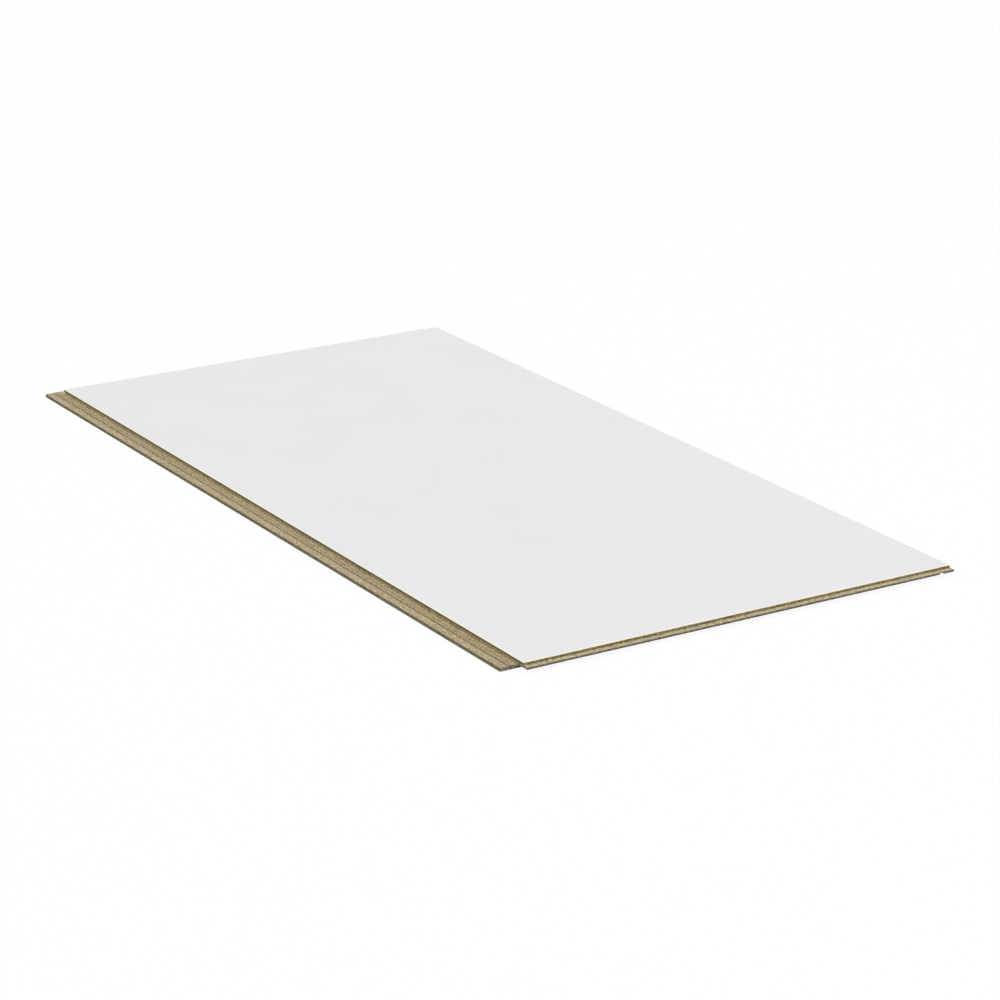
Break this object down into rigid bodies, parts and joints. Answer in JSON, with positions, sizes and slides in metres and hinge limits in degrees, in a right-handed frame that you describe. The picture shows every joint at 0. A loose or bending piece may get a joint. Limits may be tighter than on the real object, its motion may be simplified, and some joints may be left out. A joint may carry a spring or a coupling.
{
  "type": "ceiling board",
  "caption": "Flat rectangular wood-fibre ceiling board, white on its face, with a stapling flange, a lap, a tongue and a groove milled into its sides.",
  "frame": {"origin": "middle of the underside of the overall box, on the plane that the board lies on and that goes against the battens", "axes": "+X across the width, from the flange side to the lap side; +Y along the length, from the tongue side to the groove side; +Z out of the painted face"},
  "size_m": [0.622, 1.2212, 0.011],
  "materials": {
    "painted_fibreboard": "matte white paint on the face, bare milled fibre on the sides, sanded fibre on the back"
  },
  "bodies": {
    "root": {"ceiling_board": "painted_fibreboard"}
  },
  "joints": []
}
